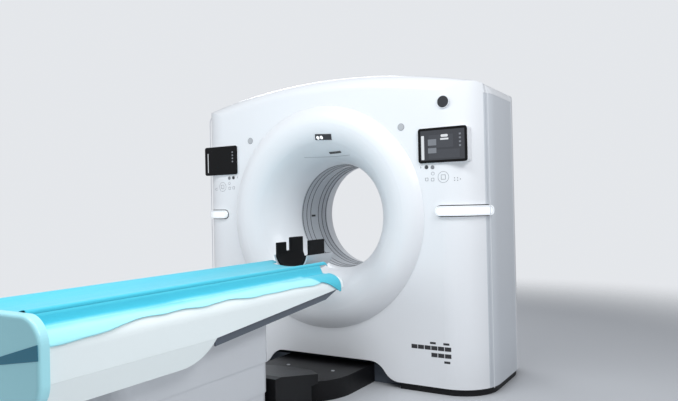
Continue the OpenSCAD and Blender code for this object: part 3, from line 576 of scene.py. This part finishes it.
class SCANNER_OT_stage(bpy.types.Operator):
    """Adds the floor, the backdrop, the lamps and the camera"""

    bl_idname = "scanner.stage"
    bl_label = "Stage"

    def execute(self, context):
        scene = context.scene
        scene.view_settings.view_transform = "Standard"
        bm = bmesh.new()
        bmesh.ops.create_grid(bm, x_segments=1, y_segments=1, size=9.0)
        mesh = bpy.data.meshes.new("floor")
        bm.to_mesh(mesh)
        bm.free()
        floor_finish("floor")
        mesh.materials.append(LOOKS["floor"])
        floor = bpy.data.objects.new("floor", mesh)
        scene.collection.objects.link(floor)

        world = bpy.data.worlds.new("room")
        scene.world = world
        world.use_nodes = True
        nodes, links = world.node_tree.nodes, world.node_tree.links
        nodes.clear()
        output = nodes.new("ShaderNodeOutputWorld")
        lit = nodes.new("ShaderNodeBackground")
        seen = nodes.new("ShaderNodeBackground")
        pick = nodes.new("ShaderNodeMixShader")
        path = nodes.new("ShaderNodeLightPath")
        lit.inputs[0].default_value = (0.84, 0.87, 0.92, 1)
        lit.inputs[1].default_value = 0.45
        seen.inputs[0].default_value = (0.78, 0.80, 0.83, 1)
        seen.inputs[1].default_value = 1.0
        links.new(path.outputs["Is Camera Ray"], pick.inputs[0])
        links.new(lit.outputs[0], pick.inputs[1])
        links.new(seen.outputs[0], pick.inputs[2])
        links.new(pick.outputs[0], output.inputs[0])

        # Each lamp: name, place, aim, width, height, power and tint
        lamps = [
            ("ceiling_front", (0.2, -2.4, 3.1), (0.2, -2.2, 0.0), 2.2, 1.2, 54.0, (0.95, 0.98, 1.0)),
            ("ceiling_side", (2.6, -1.6, 3.0), (0.6, -0.4, 0.9), 1.4, 1.2, 36.0, (0.96, 0.98, 1.0)),
            ("ceiling_back", (-1.6, 1.8, 3.1), (-0.4, 0.0, 0.8), 2.0, 1.4, 40.0, (0.94, 0.97, 1.0)),
            ("window_left", (-3.2, -3.6, 1.7), (-0.4, -0.5, 1.0), 1.2, 1.8, 46.0, (0.97, 0.99, 1.0)),
            ("window_right", (3.4, -2.6, 0.9), (0.3, -1.9, 0.6), 1.4, 1.2, 17.0, (0.97, 0.99, 1.0)),
        ]
        for name, at, to, wide, high, power, tint in lamps:
            data = bpy.data.lights.new(name, "AREA")
            data.shape = "RECTANGLE"
            data.size = wide
            data.size_y = high
            data.energy = power
            data.color = tint
            lamp = bpy.data.objects.new(name, data)
            lamp.location = at
            lamp.rotation_euler = (Vector(to) - Vector(at)).to_track_quat("-Z", "Y").to_euler()
            lamp.visible_glossy = not name.startswith("window")
            scene.collection.objects.link(lamp)

        # The fitted camera: its focal length and picture width in pixels, and its turn, tip and roll
        focal, wide = 630.13, 678
        turn, tip, roll = math.radians(31.4118), math.radians(0.4384), math.radians(-1.2598)
        data = bpy.data.cameras.new("camera")
        data.sensor_width = 36.0
        data.sensor_fit = "HORIZONTAL"
        data.lens = data.sensor_width * focal / wide
        data.clip_start = 0.05
        camera = bpy.data.objects.new("camera", data)
        scene.collection.objects.link(camera)
        ahead = Vector((-math.sin(turn) * math.cos(tip), math.cos(turn) * math.cos(tip), math.sin(tip)))
        level = Vector((math.cos(turn), math.sin(turn), 0))
        up = level.cross(ahead)
        right = level * math.cos(roll) + up * math.sin(roll)
        over = up * math.cos(roll) - level * math.sin(roll)
        pose = Matrix((right, over, -ahead)).transposed().to_4x4()
        pose.translation = (2.217, -3.8534, 1.1112)
        camera.matrix_world = pose
        scene.camera = camera
        return {"FINISHED"}


class SCANNER_OT_screens(bpy.types.Operator):
    """Lays plain lit shapes on both touch screens, the left one nearly all black"""

    bl_idname = "scanner.screens"
    bl_label = "Screens"

    def execute(self, context):
        icons = [(0.108, z, 0.012, 0.010, 0.002) for z in (0.056, 0.034, 0.012, -0.010)]
        field = [(0.0, 0.0, 0.270, 0.173, 0.002)]
        # Each row: name, finish, height over the glass, and plates as X, Z, width, height and corner
        left = [
            ("field", "screen_glass", 0.0006, field),
            ("squares", "display_grey", 0.0010, icons),
            ("bars", "display_white", 0.0010, [(-0.121, -0.012, 0.006, 0.140, 0.002)]),
        ]
        right = [
            ("field", "display_field", 0.0006, field),
            ("tables", "display_dim", 0.0008,
             [(0.010, -0.052, 0.190, 0.050, 0.002), (-0.008, 0.022, 0.150, 0.074, 0.002)]),
            ("squares", "display_grey", 0.0010,
             [(-0.062, 0.017, 0.052, 0.036, 0.002), (-0.062, -0.031, 0.052, 0.030, 0.002), *icons]),
            ("bars", "display_white", 0.0010,
             [(-0.121, -0.012, 0.018, 0.140, 0.003), (0.014, 0.052, 0.044, 0.015, 0.007),
              (0.014, 0.033, 0.050, 0.010, 0.002)]),
        ]
        for side, x, shapes in (("left", -SCREEN_X, left), ("right", SCREEN_X, right)):
            for name, look, proud, plates in shapes:
                bm = bmesh.new()
                for px, pz, w, h, r in plates:
                    moved(bm, plate_face(bm, w, h, r, 4), x + px, SCREEN_Z + pz)
                lay_pads(bm, upright(SCREEN_FRONT), proud, 0.5, 0.0)
                finished(f"screen_{side}_{name}", bm, "gantry", look)
        return {"FINISHED"}


class SCANNER_OT_prints(bpy.types.Operator):
    """Prints the plain marks round the keys and the blank plates low on the front"""

    bl_idname = "scanner.prints"
    bl_label = "Prints and plates"

    def execute(self, context):
        proud = context.scene.scanner_sizes.print_proud
        for side, s in (("left", -1), ("right", 1)):
            bm = bmesh.new()
            for x, z, size in ((0.737, 1.251, 0.019), (0.774, 1.249, 0.019), (0.840, 1.261, 0.028)):
                hollowed(bm, moved(bm, plate_face(bm, size, size, 0.003, 3), s * x, z), 0.0022)
            for x, z, r in ((0.776, 1.284, 0.010), (0.840, 1.261, 0.033)):
                hollowed(bm, moved(bm, disc_face(bm, r), s * x, z), 0.0018)
            moved(bm, plate_face(bm, 0.003, 0.012), s * 0.701, 1.323)
            for x, z in ((0.905, 1.254), (0.922, 1.254), (0.905, 1.240), (0.922, 1.240), (0.938, 1.247)):
                moved(bm, disc_face(bm, 0.003, 12), s * x, z)
            lay_pads(bm, on_cover, proud)
            finished(f"key_marks_{side}", bm, "gantry", "print_grey")
        bm = bmesh.new()
        rows = [
            (0.297, (0.752, 0.835), 0.036, 0.012),
            (0.268, (0.634, 0.676, 0.718, 0.760, 0.802, 0.844), 0.038, 0.024),
            (0.228, (0.760, 0.802, 0.844), 0.038, 0.024),
            (0.192, (0.838,), 0.036, 0.013),
        ]
        for z, places, w, h in rows:
            for x in places:
                moved(bm, plate_face(bm, w, h), x, z)
        lay_pads(bm, on_cover, proud)
        finished("blank_plates", bm, "gantry", "print_dark")
        return {"FINISHED"}


class SCANNER_OT_trims(bpy.types.Operator):
    """Adds the painted highlights along the cover seams, the light bars' borders, the painted shadow line of
    the bulge's crease and the round trims
    """

    bl_idname = "scanner.trims"
    bl_label = "Trims"

    def seam(self, name, y, width):
        """A narrow painted highlight round the covers at y: up both sides and over the arched top."""
        low = 0.045
        sx = SIDE - ARCH_ROUND
        sz = math.sqrt((ARCH - ARCH_ROUND) ** 2 - sx * sx) + CROWN - ARCH
        lean = math.atan2(sx, sz - CROWN + ARCH)
        path = [(SIDE, low + (sz - low) * i / 6) for i in range(7)]
        path += [(sx + ARCH_ROUND * math.cos(a), sz + ARCH_ROUND * math.sin(a))
                 for a in [(math.pi / 2 - lean) * i / 7 for i in range(1, 8)]]
        path += [(ARCH * math.sin(a), CROWN - ARCH + ARCH * math.cos(a))
                 for a in [lean * (1 - i / 24) for i in range(1, 25)]]
        bm = bmesh.new()
        last = bm.verts.new((path[0][0], y, path[0][1]))
        for x, z in path[1:]:
            new = bm.verts.new((x, y, z))
            bm.edges.new((last, new))
            last = new
        grown = bmesh.ops.extrude_edge_only(bm, edges=bm.edges[:])["geom"]
        back = [v for v in grown if isinstance(v, bmesh.types.BMVert)]
        bmesh.ops.translate(bm, vec=(0, width, 0), verts=back)
        bmesh.ops.mirror(bm, geom=bm.verts[:] + bm.edges[:] + bm.faces[:], axis="X", merge_dist=1e-5)
        bmesh.ops.recalc_face_normals(bm, faces=bm.faces[:])
        if sum(f.normal.z for f in bm.faces) < 0:
            bmesh.ops.reverse_faces(bm, faces=bm.faces[:])
        bmesh.ops.solidify(bm, geom=bm.faces[:], thickness=-0.0012)
        bmesh.ops.recalc_face_normals(bm, faces=bm.faces[:])
        finished(name, bm, "gantry", "trim_light")

    def execute(self, context):
        width = context.scene.scanner_sizes.seam
        # Painted highlights along the front and rear cover seams
        self.seam("seam_highlight_front", SEAM_FRONT - width / 2, width)
        self.seam("seam_highlight_rear", SEAM_REAR - width / 2, width * 0.7)

        # Ends of a light bar along the cover; its border reaches past them and its line stops short
        bar_start = 0.793
        bar_end = SIDE - CORNER + CORNER * math.pi / 2 + (SEAM_FRONT + 0.038) - (CORNER - FACE)
        border, line = 0.006, 0.004
        bm = bmesh.new()
        for s in (-1, 1):
            start = bar_start - border
            length = bar_end + border - start
            made = plate_face(bm, length, 0.068, 0.0339, 10)
            hollowed(bm, moved(bm, made, s * (start + length / 2), BAR_Z), 0.0055)
        lay_pads(bm, on_cover, 0.0015)
        finished("light_bar_borders", bm, "gantry", "trim_dark")

        bm = bmesh.new()
        for s in (-1, 1):
            start = bar_start + line
            length = bar_end - line - start
            made = plate_face(bm, length, 0.048, 0.0239, 10)
            hollowed(bm, moved(bm, made, s * (start + length / 2), BAR_Z), 0.003)
        lay_pads(bm, lambda u, z, out: on_cover(u, z, 0.022 + out), 0.0008, 0.012, 0.0)
        finished("light_bar_lines", bm, "gantry", "trim_light")

        bm = bmesh.new()
        for x in (0.004, 0.031):
            moved(bm, disc_face(bm, 0.0105, 28), x, ISO + 0.507)
        lay_pads(bm, on_bulge, 0.0042, 0.004, -0.0015)
        finished("breath_spots", bm, "gantry", "spot_light")

        # A grey strip painted as the shadow line of the crease above the bore
        bm = bmesh.new()
        made = plate_face(bm, 0.360, 0.0028)
        bmesh.ops.rotate(bm, matrix=Matrix.Rotation(math.radians(1.0), 3, "Y"), verts=made)
        moved(bm, made, 0.020, ISO + 0.392)
        lay_pads(bm, on_bulge, 0.0005, 0.008)
        finished("bulge_crease_shadow", bm, "gantry", "trim_grey")

        bm = bmesh.new()
        for s in (-1, 1):
            hollowed(bm, moved(bm, disc_face(bm, 0.0215), s * 0.578, ISO + 0.531), 0.0022)
        lay_pads(bm, on_cover, 0.0012)
        finished("plug_rings", bm, "gantry", "print_grey")

        bm = bmesh.new()
        hollowed(bm, moved(bm, disc_face(bm, 0.0372, 56), 0.849, ISO + 0.655), 0.0032)
        lay_pads(bm, upright(-FACE - 0.002), 0.0042, 0.02, 0.004)
        finished("badge_rim", bm, "gantry", "trim_light")
        return {"FINISHED"}


def around_bore(bm, radius, y0, y1, a0, a1, thick, steps=96):
    """A band on the tunnel wall between two angles, pointing inwards."""
    start = bm.verts.new((radius * math.cos(a0), y0, ISO + radius * math.sin(a0)))
    end = bm.verts.new((radius * math.cos(a0), y1, ISO + radius * math.sin(a0)))
    edge = bm.edges.new((start, end))
    full = abs(a1 - a0) > math.tau - 0.01
    bmesh.ops.spin(bm, geom=[start, end, edge], cent=(0, 0, ISO), axis=(0, -1, 0), angle=a1 - a0, steps=steps,
                   use_merge=full)
    bmesh.ops.solidify(bm, geom=bm.faces[:], thickness=thick)
    bmesh.ops.recalc_face_normals(bm, faces=bm.faces[:])


class SCANNER_OT_tunnel(bpy.types.Operator):
    """Darkens the tunnel's ring joints and adds the laser slits"""

    bl_idname = "scanner.tunnel"
    bl_label = "Tunnel lines"

    def execute(self, context):
        for name, y in zip("abcdef", (-0.150, -0.100, -0.0495, 0.0495, 0.100, 0.150)):
            bm = bmesh.new()
            around_bore(bm, BORE - 0.0003, y - 0.0022, y + 0.0022, 0.0, 2 * math.pi, 0.001, 128)
            finished(f"tunnel_joint_{name}", bm, "gantry", "groove_dark")
        for name, a in (("left", math.pi), ("right", 0.0), ("top", math.pi / 2)):
            bm = bmesh.new()
            around_bore(bm, BORE - 0.0004, -0.036, 0.012, a - 0.020, a + 0.020, 0.001, 4)
            finished(f"laser_slit_{name}", bm, "gantry", "groove_dark")
        return {"FINISHED"}


def fold_height(x, y, seed):
    """Long shallow folds of a cloth that lies loosely, from 0 to 1."""
    broad = noise.noise(Vector((x * 7.0 + seed, y * 1.6, seed)))
    fine = noise.noise(Vector((x * 19.0 + 3.1 * seed, y * 4.2 + x * 5.0, 7.7)))
    return 0.5 + 0.5 * max(-1.0, min(1.0, 1.3 * broad + 0.7 * fine))


class SCANNER_OT_cloths(bpy.types.Operator):
    """Drapes the sheet over the cradle and the cloth over the table's shoulders and nose"""

    bl_idname = "scanner.cloths"
    bl_label = "Cloths"

    def sheet(self, fold):
        """Lies in the mattress's hollow, folds over the cradle's rims and hangs down beside them."""
        # Half widths at the rim and the hollow, the hollow's depth, and the hem
        half, inner, dip, hem = 0.1985, 0.184, 0.0255, 0.0146
        low, high = FOOT_END, -0.706
        notch_y, notch_half = -0.799, 0.133
        bm = bmesh.new()
        bmesh.ops.create_grid(bm, x_segments=84, y_segments=330, size=0.5)
        reach = half + hem
        for v in bm.verts:
            u = v.co.x * 2 * reach
            y = low + (v.co.y + 0.5) * (high - low)
            f = fold * fold_height(u, y, 1.7)
            edge = abs(u)
            if edge <= inner:
                x, z = u, RIM + 0.002 - dip * (1 - (edge / inner) ** 2) + f
            elif edge <= half - 0.006:
                x, z = u, RIM + 0.004 + f * 0.4
            else:
                t = (edge - half + 0.006) / (hem + 0.006)
                turn = min(1.0, t / 0.3) * math.pi / 2
                out = 0.006 * math.sin(turn)
                drop = 0.006 * (1 - math.cos(turn)) + max(0.0, t - 0.3) * (hem - 0.001)
                x = math.copysign(half - 0.004 + out + 0.6 * f * max(0.0, t - 0.3), u)
                z = RIM + 0.004 - drop
            over = max(0.0, y - (high - 0.022))
            z -= over * over * 26
            v.co = (x, y, z)
        notch = [fc for fc in bm.faces
                 if fc.calc_center_median().y > notch_y and abs(fc.calc_center_median().x) < notch_half]
        bmesh.ops.delete(bm, geom=notch, context="FACES")
        sheet = finished("sheet_cloth", bm, "sliding_cradle", "cloth_cyan", 60)
        wall = sheet.modifiers.new("thickness", "SOLIDIFY")
        wall.thickness = 0.0016
        wall.offset = 1.0
        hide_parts("sheet")

    def side_cloth(self, fold):
        """Runs down one side of the table, round its nose and back up the other side."""
        nose = NOSE_Y - 0.004
        straight = nose - NOSE_ROUND - FOOT_END
        corner = NOSE_ROUND * math.pi / 2
        total = 2 * straight + 2 * corner + 2 * NOSE_FLAT
        bm = bmesh.new()
        bmesh.ops.create_grid(bm, x_segments=520, y_segments=26, size=0.5)
        for v in bm.verts:
            s = (v.co.x + 0.5) * total
            t = v.co.y + 0.5
            mirrored = s > total / 2
            q = total - s if mirrored else s
            near_nose = max(0.0, min(1.0, (q - straight + 0.16) / 0.16))
            wave = noise.noise(Vector((q * 2.3, 5.0 if mirrored else 0.5, 2.0)))
            wave += 0.5 * noise.noise(Vector((q * 6.0, 3.0, 1.0)))
            low_angle = math.radians(31 + 22 * max(-0.75, min(0.75, wave)))
            f = fold * fold_height(q * 0.25, t * 0.4 + q, 4.2)
            v.co = self.side_point(q, t, straight, corner, low_angle * (1 - near_nose) - 0.35 * near_nose, f)
            if mirrored:
                v.co.x = -v.co.x
        bmesh.ops.remove_doubles(bm, verts=bm.verts[:], dist=1e-5)
        bmesh.ops.recalc_face_normals(bm, faces=bm.faces[:])
        if sum(fc.normal.z for fc in bm.faces) < 0:
            bmesh.ops.reverse_faces(bm, faces=bm.faces[:])
        area = sum(fc.calc_area() for fc in bm.faces)
        cloth = finished("side_cloth", bm, "table_top", "cloth_pale", 60)
        wall = cloth.modifiers.new("thickness", "SOLIDIFY")
        wall.thickness = 0.0014
        wall.offset = 1.0
        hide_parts("side_cloths")
        area / total * 1.02

    def side_point(self, q, t, straight, corner, low, fold):
        """A point of the side cloth: q along its run, t from its inner edge to its hem."""
        # Where the upright part and the flat part end, as shares of the width from the inner edge
        upright_end, flat_end = 0.22, 0.36
        r = SHOULDER_ROUND + 0.0038 + fold
        cz = PANEL_TOP - SHOULDER_ROUND
        if t < upright_end:
            k = t / upright_end
            rise = 0.050 * max(0.0, min(1.0, (straight - q) / 0.03))
            x, z = 0.2052 + 0.0183 * k * k, PANEL_TOP + 0.002 + rise * (1 - math.sin(k * math.pi / 2))
        elif t < flat_end:
            k = (t - upright_end) / (flat_end - upright_end)
            x, z = 0.2235 + (SHOULDER_X - 0.2235) * k, PANEL_TOP + 0.002 + 0.0018 * k
        else:
            k = (t - flat_end) / (1 - flat_end)
            a = math.pi / 2 - k * (math.pi / 2 - low)
            if a >= 0:
                x, z = SHOULDER_X + r * math.cos(a), cz + r * math.sin(a)
            else:
                x, z = SHOULDER_X + r, cz + (r - fold) * a
        if q <= straight:
            return Vector((x, FOOT_END + q, z))
        corner_y = FOOT_END + straight
        out = x - NOSE_FLAT
        if q <= straight + corner:
            a = (q - straight) / corner * math.pi / 2
            px = NOSE_FLAT + out * math.cos(a) if out > 0 else x
            py = corner_y + max(out, 0.0) * math.sin(a)
        else:
            px = NOSE_FLAT - (q - straight - corner)
            py = corner_y + max(out, 0.0)
        trough = ISO - math.sqrt(TROUGH ** 2 - px * px)
        return Vector((px, py, min(z, trough, PANEL_TOP + 0.003)))

    def execute(self, context):
        fold = context.scene.scanner_sizes.fold
        self.sheet(fold)
        self.side_cloth(fold)
        return {"FINISHED"}


def rounded_copy(node, name, voxel, smooth, body, look):
    """A soft copy of a solid, remeshed and relaxed so that its edges round off."""
    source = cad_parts[node]
    mesh = source.data.copy()
    copy = bpy.data.objects.new(name, mesh)
    bpy.context.scene.collection.objects.link(copy)
    bm = bmesh.new()
    bm.from_mesh(mesh)
    bmesh.ops.remove_doubles(bm, verts=bm.verts[:], dist=1e-5)
    bm.to_mesh(mesh)
    bm.free()
    mesh.materials.clear()
    mesh.materials.append(LOOKS[look])
    remesh = copy.modifiers.new("remesh", "REMESH")
    remesh.mode = "VOXEL"
    remesh.voxel_size = voxel
    relax = copy.modifiers.new("relax", "SMOOTH")
    relax.factor = 0.5
    relax.iterations = smooth
    bpy.context.view_layer.objects.active = copy
    copy.select_set(True)
    bpy.ops.object.modifier_apply(modifier="remesh")
    bpy.ops.object.modifier_apply(modifier="relax")
    for polygon in copy.data.polygons:
        polygon.use_smooth = True
    copy.select_set(False)
    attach(copy, body)
    return copy


class SCANNER_OT_pads(bpy.types.Operator):
    """Rounds the foam of the head holder and fills the mattress"""

    bl_idname = "scanner.pads"
    bl_label = "Pads"

    def execute(self, context):
        foam = rounded_copy("head_holder_pads", "holder_foam", 0.0035, 6, "sliding_cradle", "holder_foam")
        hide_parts("head_holder_pads")
        mattress = rounded_copy("mattress", "mattress_pad", 0.008, 3, "sliding_cradle", "mattress_grey")
        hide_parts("mattress")
        return {"FINISHED"}


class SCANNER_OT_table_trims(bpy.types.Operator):
    """Adds the foot end's slanted strips"""

    bl_idname = "scanner.table_trims"
    bl_label = "Table trims"

    def execute(self, context):
        cap_face = FOOT_Y - 0.040
        bm = bmesh.new()
        for s in (-1, 1):
            made = plate_face(bm, 1.0, 1.0)
            corners = {(-1, -1): (0.10, 0.595), (1, -1): (0.3385, 0.634),
                       (-1, 1): (0.10, 0.619), (1, 1): (0.336, 0.686)}
            for v in made:
                x, z = corners[(1 if v.co.x > 0 else -1, 1 if v.co.z > 0 else -1)]
                v.co = (s * x, 0, z)
        lay_pads(bm, upright(cap_face), 0.0015, 0.05, 0.0002)
        finished("end_strips", bm, "table_top", "end_strip")
        return {"FINISHED"}


class SCANNER_PT_panel(bpy.types.Panel):
    """Lists the scanner's pieces"""

    bl_idname = "SCANNER_PT_panel"
    bl_label = "Tomography scanner"
    bl_space_type = "VIEW_3D"
    bl_region_type = "UI"
    bl_category = "Scanner"

    def draw(self, context):
        for group in (context.scene.scanner_colours, context.scene.scanner_sizes):
            for key in group.bl_rna.properties.keys():
                if key not in ("rna_type", "name"):
                    self.layout.prop(group, key)
        for operator in OPERATORS:
            self.layout.operator(operator.bl_idname)


OPERATORS = (
    SCANNER_OT_finishes,
    SCANNER_OT_stage,
    SCANNER_OT_screens,
    SCANNER_OT_prints,
    SCANNER_OT_trims,
    SCANNER_OT_tunnel,
    SCANNER_OT_pads,
    SCANNER_OT_cloths,
    SCANNER_OT_table_trims,
)
CLASSES = (ScannerColours, ScannerSizes, *OPERATORS, SCANNER_PT_panel)


def register():
    for cls in CLASSES:
        bpy.utils.register_class(cls)
    bpy.types.Scene.scanner_colours = bpy.props.PointerProperty(type=ScannerColours)
    bpy.types.Scene.scanner_sizes = bpy.props.PointerProperty(type=ScannerSizes)


def unregister():
    del bpy.types.Scene.scanner_sizes
    del bpy.types.Scene.scanner_colours
    for cls in reversed(CLASSES):
        bpy.utils.unregister_class(cls)


def main():
    register()
    bpy.ops.scanner.finishes()
    bpy.ops.scanner.stage()
    bpy.ops.scanner.screens()
    bpy.ops.scanner.prints()
    bpy.ops.scanner.trims()
    bpy.ops.scanner.tunnel()
    bpy.ops.scanner.pads()
    bpy.ops.scanner.cloths()
    bpy.ops.scanner.table_trims()


if __name__ == "__main__":
    main()
